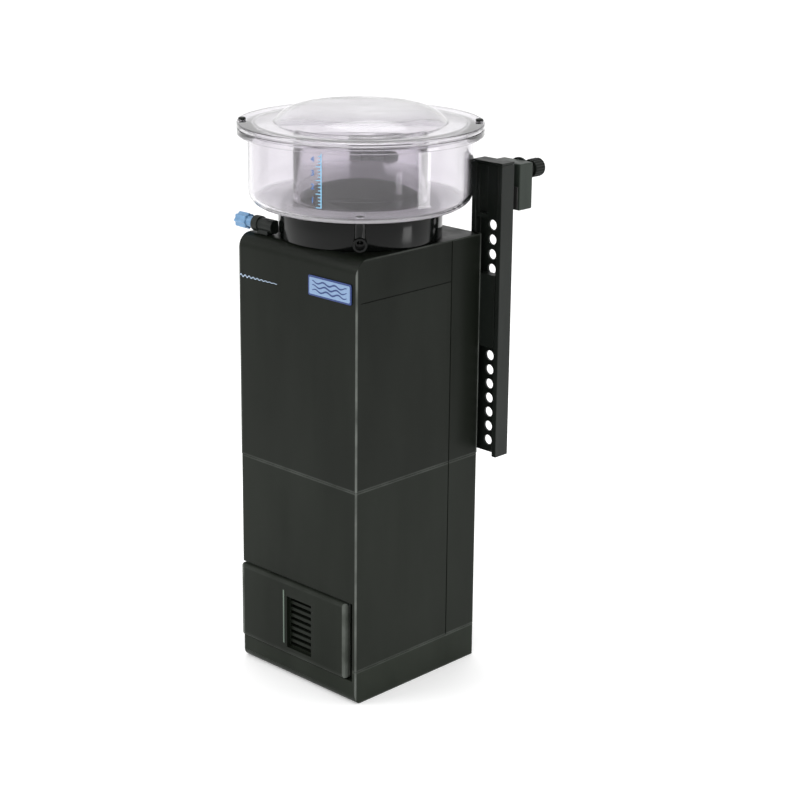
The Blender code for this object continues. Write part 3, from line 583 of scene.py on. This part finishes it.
def lid():
    low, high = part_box("lid")
    rim, top = high.x, high.z
    flange_low, flange_top, wall = 477.3 * MM, 481.5 * MM, 3 * MM
    lip_low, lip, lip_wall = low.z, 90.5 * MM, 2.2 * MM
    foot = 72.5 * MM
    outside = dome(foot, flange_top, top)
    inside = dome(foot - 1 * MM, flange_top - wall, top - wall)
    outside[-1] = (*outside[-1][:2], 1.2 * MM)
    inside[-1] = (*inside[-1][:2], 1.2 * MM)
    profile = rounded([
        *outside, (rim, flange_top, 1.0 * MM), (rim, flange_low, 0.5 * MM), (lip, flange_low, 0.3 * MM),
        (lip, lip_low, 0.6 * MM), (lip - lip_wall, lip_low, 0.6 * MM),
        (lip - lip_wall, flange_top - wall, 1 * MM),
        *reversed(inside),
    ], 6)
    mesh = carve(turned_mesh("lid_dome", profile, 144), pin_hole_cutters(flange_top))
    new_piece("lid_dome", smoothed(mesh), "lid", look=LID_CLEAR)


def lid_pins():
    for side in ("left", "right"):
        node = f"lid_pin_{side}"
        low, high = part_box(node)
        centre = ((low.x + high.x) / 2, (low.y + high.y) / 2, 0)
        head = (high.x - low.x) / 2
        seat = high.z - 2.0 * MM
        profile = rounded([
            (0, low.z, 0), (2.2 * MM, low.z, 0.5 * MM), (2.2 * MM, seat, 0), (head, seat, 0.2 * MM),
            (head, high.z, 1.1 * MM), (1.4 * MM, high.z, 0.1 * MM), (1.2 * MM, high.z - 0.7 * MM, 0.1 * MM),
            (0, high.z - 0.7 * MM, 0),
        ])
        new_piece(f"{node}_stud", turned_mesh(node, profile, 32, centre), node, look=PIN_DARK)


def neck():
    """The black neck, with the spigot on top and the sleeve that reaches into the tower."""
    low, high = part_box("neck_collar")
    outside, top = high.x, 410 * MM
    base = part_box("upper_housing")[1].z
    spigot, sleeve, wall = 52.8 * MM, 59.6 * MM, 3.0 * MM
    inner = spigot - 3.3 * MM
    profile = rounded([
        (inner, high.z, 0.6 * MM), (spigot, high.z, 0.8 * MM), (spigot, top, 0.6 * MM),
        (outside, top, 1.6 * MM), (outside, base + 0.3 * MM, 0.3 * MM), (sleeve, base + 0.3 * MM, 0),
        (sleeve, low.z, 0.5 * MM), (sleeve - wall, low.z, 0.5 * MM), (sleeve - wall, base + wall, 0.5 * MM),
        (outside - wall, base + 2 * wall, 0.5 * MM), (outside - wall, top - wall, 0.8 * MM),
        (inner, top - wall, 0.5 * MM),
    ])
    new_piece("neck_collar_turned", turned_mesh("neck_collar_turned", profile, 128), "neck_collar")


def gasket():
    low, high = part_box("cup_gasket")
    inner, edge = 54.5 * MM, 0.6 * MM
    profile = rounded([
        (inner, low.z, edge), (high.x, low.z, edge), (high.x, high.z, edge), (inner, high.z, edge),
    ])
    new_piece("cup_gasket_ring", turned_mesh("cup_gasket_ring", profile, 96), "cup_gasket")


def foam_cone():
    low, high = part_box("foam_cone")
    wide, narrow, wall = high.x, 48.8 * MM, 2.0 * MM
    shoulder = high.z - 14 * MM
    bend = 4 * MM
    profile = rounded([
        (wide, low.z, 0.4 * MM), (narrow, shoulder, bend), (narrow, high.z, 0.5 * MM),
        (narrow - wall, high.z, 0.5 * MM), (narrow - wall, shoulder, bend), (wide - wall, low.z, 0.4 * MM),
    ])
    new_piece("foam_funnel", turned_mesh("foam_funnel", profile, 112), "foam_cone")


# Marks printed on the cup and the tower


def wrapped(name, outline_list, radius, body, slot, look, thick=0.12 * MM):
    """Flat outlines of (angle in radians, height) laid on a round wall as thin raised ink."""
    bm = bmesh.new()
    for outline in outline_list:
        rings = []
        for size in (radius, radius + thick):
            rings.append([bm.verts.new((size * math.cos(a), size * math.sin(a), z)) for a, z in outline])
        close_prism(bm, *rings)
    new_piece(name, mesh_from(bm, name), body=body, slot=slot, look=look)


def cup_scale():
    """A filling scale on the front of the cup: an upright line, ticks and the numbers 1 to 4."""
    radius, body = CUP_RADIUS + 0.02 * MM, BODY_OF["cup"]
    line, low, high = math.radians(-64.2), 426 * MM, 470.5 * MM
    half, ink = 0.40 * MM / radius, 0.35 * MM
    upright = [(line - half, low), (line + half, low), (line + half, high), (line - half, high)]
    outlines = [upright]
    step = 2.75 * MM
    for i in range(17):
        level = low + ink + step * i
        reach = (4.5 if i % 4 == 0 else 2.6) * MM / radius
        columns = [line - reach * k / 3 for k in range(4)]
        outlines.append([(a, level - ink) for a in columns] + [(a, level + ink) for a in reversed(columns)])
    wrapped("cup_scale_marks", outlines, radius, body, "valve_blue", INK_SKY)
    for number in range(1, 5):
        level = low + ink + 4 * step * (number - 0.5) - 1.9 * MM
        digit(number, line - 9.0 * MM / radius, level, radius)


def digit(number, angle, level, radius):
    """One printed number, wrapped on the cup's wall."""
    height, half_thick = 6.6 * MM, 0.01
    curve = bpy.data.curves.new(f"digit_{number}", "FONT")
    curve.body = str(number)
    curve.extrude = half_thick
    flat = bpy.data.objects.new(f"digit_{number}", curve)
    bpy.context.scene.collection.objects.link(flat)
    mesh = bpy.data.meshes.new_from_object(flat.evaluated_get(bpy.context.evaluated_depsgraph_get()))
    bpy.data.objects.remove(flat)
    for vert in mesh.vertices:
        around = angle + height * vert.co.x / radius
        out = radius + height * (vert.co.z + half_thick)
        vert.co = (out * math.cos(around), out * math.sin(around), level + height * vert.co.y)
    mesh.update()
    new_piece(f"cup_scale_number_{number}", mesh, body=BODY_OF["cup"], slot="valve_blue", look=INK_BLUE)


def ribbon(start, end, steps, shape):
    """A closed outline along X.

    shape gives its level and half its thickness at each share of its length.
    """
    lower, upper = [], []
    for i in range(steps + 1):
        share = i / steps
        x = start + (end - start) * share
        level, half = shape(share)
        lower.append((x, level - half))
        upper.append((x, level + half))
    return lower + upper[::-1]


def front_print():
    """A fine level line on the tower's front with a ripple that fades towards the middle."""
    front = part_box("upper_housing")[0].y
    left, right, level = -69.4 * MM, -23.5 * MM, 350.2 * MM
    height, ripples, half = 0.95 * MM, 9, 0.5 * MM

    def shape(share):
        swing = height * (1 - share) ** 0.6 * math.sin(share * math.tau * ripples)
        return level + swing, half * (1 - 0.6 * share)

    outline = ribbon(left, right, 150, shape)
    mesh = prism_mesh("front_ripple", outline, "Y", front - 0.14 * MM, front - 0.01 * MM)
    new_piece("front_ripple", mesh, body="tower", slot="badge_blue", look=INK_PALE)


def badge():
    """The name plate, with three generic waves in place of any name."""
    refined("badge_plate", 0.2 * MM)
    low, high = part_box("badge_plate")
    face, margin = low.y, 1.5 * MM
    left, right, bottom, top = low.x + margin, high.x - margin, low.z + margin, high.z - margin
    corner = 1.2 * MM
    inner = rounded([
        (left, bottom, corner), (right, bottom, corner), (right, top, corner), (left, top, corner),
    ])
    mesh = prism_mesh("badge_panel", inner, "Y", face - 0.16 * MM, face + 0.05 * MM)
    new_piece("badge_panel", mesh, body="tower", slot="badge_blue", look=INK_PANEL)
    half, height, waves, row_pitch = 0.75 * MM, 1.0 * MM, 3, 3.6 * MM
    for row in range(3):

        def shape(share, row=row):
            swing = height * math.sin(share * math.tau * waves + row * 0.9)
            middle = (low.z + high.z) / 2 + (row - 1) * row_pitch
            return middle + swing, half * math.sin(math.pi * (0.06 + 0.88 * share)) ** 0.5

        outline = ribbon(low.x + 5 * MM, high.x - 5 * MM, 72, shape)
        mesh = prism_mesh(f"badge_wave_{row}", outline, "Y", face - 0.24 * MM, face - 0.10 * MM)
        new_piece(f"badge_wave_{row}", mesh, body="tower", slot="badge_blue", look=INK_NAVY)


# Rails, clamps, valve and cover


def rail(side, sign):
    """The channel with its round holes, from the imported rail's box."""
    node = f"rail_{side}"
    low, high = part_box(node)
    near, far = sorted((abs(low.x), abs(high.x)))
    middle = sign * (near + far) / 2
    thick, lip, lip_depth = 3.2 * MM, 1.5 * MM, 2.0 * MM
    web_front, web_back = 83.0 * MM, 85.2 * MM
    round_edge = 0.45 * MM
    corners = [
        (near, low.y), (near + thick + lip, low.y), (near + thick + lip, low.y + lip_depth),
        (near + thick, low.y + lip_depth), (near + thick, web_front), (far - thick, web_front),
        (far - thick, low.y + lip_depth), (far - thick - lip, low.y + lip_depth),
        (far - thick - lip, low.y),
        (far, low.y), (far, high.y), (far - thick, high.y), (far - thick, web_back),
        (near + thick, web_back), (near + thick, high.y), (near, high.y),
    ]
    outline = rounded([(sign * x, y, round_edge) for x, y in corners], 2)
    pitch, hole, top_hole = 12.75 * MM, 4.4 * MM, 405.15 * MM
    web_middle = (web_front + web_back) / 2
    places = [(middle, web_middle, top_hole - pitch * i) for i in range(17)]
    cutters = [cylinder_mesh(hole, place, "Y", 8 * MM, 28) for place in places]
    left, right = middle - 8.4 * MM, middle + 8.4 * MM
    notch_low, notch_high = 427.6 * MM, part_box(f"hook_arm_{side}")[1].z + 10 * MM
    notch = [(left, notch_low), (right, notch_low), (right, notch_high), (left, notch_high)]
    cutters.append(prism_mesh("notch", notch, "Y", web_front - 2 * MM, web_back + 2 * MM))
    mesh = carve(prism_mesh(node, outline, "Z", low.z, high.z), cutters)
    mesh.shade_smooth()
    soften(new_piece(f"{node}_channel", mesh, node), 0.25 * MM)


def clamp_knob(side):
    """The knurled nut and its washer, turned about the stud."""
    node = f"clamp_knob_{side}"
    low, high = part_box(node)
    centre = ((low.x + high.x) / 2, 0, (low.z + high.z) / 2)
    seat, end, washer = low.y, high.y, (high.x - low.x) / 2
    washer_top, head_start, dish = seat + 2.2 * MM, seat + 14.2 * MM, end - 0.8 * MM
    bore, bore_end, stem, head = 3.3 * MM, end - 1.5 * MM, 5 * MM, 8 * MM
    profile = rounded([
        (bore, seat, 0.2 * MM), (washer, seat, 0.4 * MM), (washer, washer_top, 0.7 * MM),
        (stem, washer_top, 0.5 * MM), (stem, head_start, 0.4 * MM), (head, head_start, 0.9 * MM),
        (head, end, 1.0 * MM), (4.2 * MM, end, 0.4 * MM), (3.8 * MM, dish, 0.3 * MM),
        (0, dish, 0), (0, bore_end, 0), (bore, bore_end, 0.2 * MM),
    ])
    any_radius = -1
    grooves = (20, 0.9 * MM, head_start + 0.3 * MM, end - 0.3 * MM, any_radius)
    new_piece(f"{node}_nut", turned_mesh(node, profile, 160, centre, "Y", grooves), node)


def air_knob():
    """The blue eight-lobed knob and its collar."""
    node = "air_knob"
    low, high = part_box(node)
    centre = (0, (low.y + high.y) / 2, (low.z + high.z) / 2)
    outer, head_end, collar_end = low.x, low.x + 13 * MM, high.x
    bore, bore_start = 2.9 * MM, low.x + 15.5 * MM
    collar = 4.6 * MM
    size = (high.z - low.z) / 2
    profile = rounded([
        (0, outer + 0.8 * MM, 0), (3.4 * MM, outer + 0.8 * MM, 0.3 * MM), (3.9 * MM, outer, 0.3 * MM),
        (size, outer, 1.0 * MM), (size, head_end, 1.0 * MM), (collar, head_end, 0.4 * MM),
        (collar, collar_end, 0.4 * MM), (bore, collar_end, 0.2 * MM), (bore, bore_start, 0.2 * MM),
        (0, bore_start, 0),
    ])
    grooves = (8, 1.1 * MM, outer - MM, collar_end + MM, 5.2 * MM)
    new_piece("air_knob_grip", turned_mesh("air_knob_grip", profile, 128, centre, "X", grooves), node)


def gland():
    low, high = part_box("cable_gland")
    centre = ((low.x + high.x) / 2, 0, (low.z + high.z) / 2)
    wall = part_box("upper_housing")[1].y
    bore, stem, nut, shoulder, tip = 3.0 * MM, 5.7 * MM, 8.5 * MM, 5.6 * MM, 4.5 * MM
    seat, nut_end, shoulder_end = wall + 0.3 * MM, wall + 4 * MM, wall + 6 * MM
    profile = rounded([
        (bore, low.y, 0.3 * MM), (stem, low.y, 0.5 * MM), (stem, seat, 0),
        (nut, seat, 0.5 * MM), (nut, nut_end, 0.8 * MM),
        (shoulder, shoulder_end, 0.8 * MM), (tip, high.y, 0.5 * MM), (bore, high.y, 0.3 * MM),
    ])
    mesh = turned_mesh("cable_gland_turned", profile, 64, centre, "Y")
    new_piece("cable_gland_turned", mesh, "cable_gland")


def grille_cover():
    """The cover from its CAD solid, with its bead painted pale as a highlight."""
    obj = refined("front_cover", 0.2 * MM)
    obj.data.materials.append(BEAD_PAINTED_HIGHLIGHT)
    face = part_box("front_cover")[0].y + 0.9 * BEAD_HEIGHT
    # The bead's faces take the painted highlight.
    for polygon in obj.data.polygons:
        if polygon.center.y < face:
            polygon.material_index = 1


# The scene

# Nodes with a function of their own; the others take their CAD solid, with edges rounded as given in mm
CUSTOM = {
    "cup", "riser_tube", "lid", "lid_pin_left", "lid_pin_right", "neck_collar", "cup_gasket", "foam_cone",
    "rail_left", "rail_right", "clamp_knob_left", "clamp_knob_right", "air_knob", "cable_gland",
    "badge_plate", "front_cover",
}
PLAIN_EDGE = 0.25
EDGES = {"upper_housing": 0.20, "lower_housing": 0.20, "base_tray": 0.30,
         "hook_jaw_left": 0.30, "hook_jaw_right": 0.30, "hook_arm_left": 0.35, "hook_arm_right": 0.35}


def object_pieces():
    for node in sorted(set(NODES) - CUSTOM):
        refined(node, EDGES.get(node, PLAIN_EDGE) * MM)
    makers = (cup, riser, lid, lid_pins, neck, gasket, foam_cone, cup_scale, front_print, badge,
              air_knob, gland, grille_cover)
    for make in makers:
        make()
    for side, sign in (("right", 1), ("left", -1)):
        rail(side, sign)
        clamp_knob(side)


def camera():
    data = bpy.data.cameras.new("camera")
    data.lens, data.sensor_width = 89.55, 36
    data.shift_y = -0.062
    obj = bpy.data.objects.new("camera", data)
    bpy.context.scene.collection.objects.link(obj)
    place = (1.1603, -1.1525, 0.7595)
    turn = Matrix.Rotation(math.radians(43.99), 4, "Z")
    tilt = Matrix.Rotation(math.radians(90 - 16.23), 4, "X")
    roll = Matrix.Rotation(math.radians(0.58), 4, "Z")
    obj.matrix_world = Matrix.Translation(place) @ turn @ tilt @ roll
    bpy.context.scene.camera = obj


def softbox(name, place, target, width, height, power):
    light = bpy.data.lights.new(name, "AREA")
    light.shape = "RECTANGLE"
    light.size, light.size_y = width, height
    light.energy = power
    obj = bpy.data.objects.new(name, light)
    bpy.context.scene.collection.objects.link(obj)
    obj.location = place
    obj.rotation_euler = (Vector(target) - Vector(place)).to_track_quat("-Z", "Y").to_euler()


def studio():
    """A pale, faintly glowing floor in an even white surround, with three soft lights.

    The key light is on the upper left, one is above, and a low strip on the right lights the neck.
    """
    mesh = bpy.data.meshes.new("floor")
    bm = bmesh.new()
    bmesh.ops.create_circle(bm, cap_ends=True, segments=96, radius=9)
    bm.to_mesh(mesh)
    bm.free()
    floor = bpy.data.objects.new("floor", mesh)
    floor.location.z = CAD_BOX[0].z - 0.05 * MM
    mesh.materials.append(studio_floor())
    bpy.context.scene.collection.objects.link(floor)
    world = bpy.data.worlds.new("studio")
    world.use_nodes = True
    world.node_tree.nodes["Background"].inputs["Color"].default_value = (1, 1, 1, 1)
    world.node_tree.nodes["Background"].inputs["Strength"].default_value = 1.0
    bpy.context.scene.world = world
    middle = (0, 0, 0.28)
    softbox("key", (-0.9, -1.5, 1.5), middle, 0.9, 1.2, 11)
    softbox("low_strip", (1.15, 0.46, 0.14), (0, 0, 0.38), 0.30, 0.24, 1.1)
    softbox("top", (0, 0.2, 1.9), middle, 1.2, 1.2, 10)
    bpy.context.scene.view_settings.view_transform = "Standard"


camera()
studio()
object_pieces()
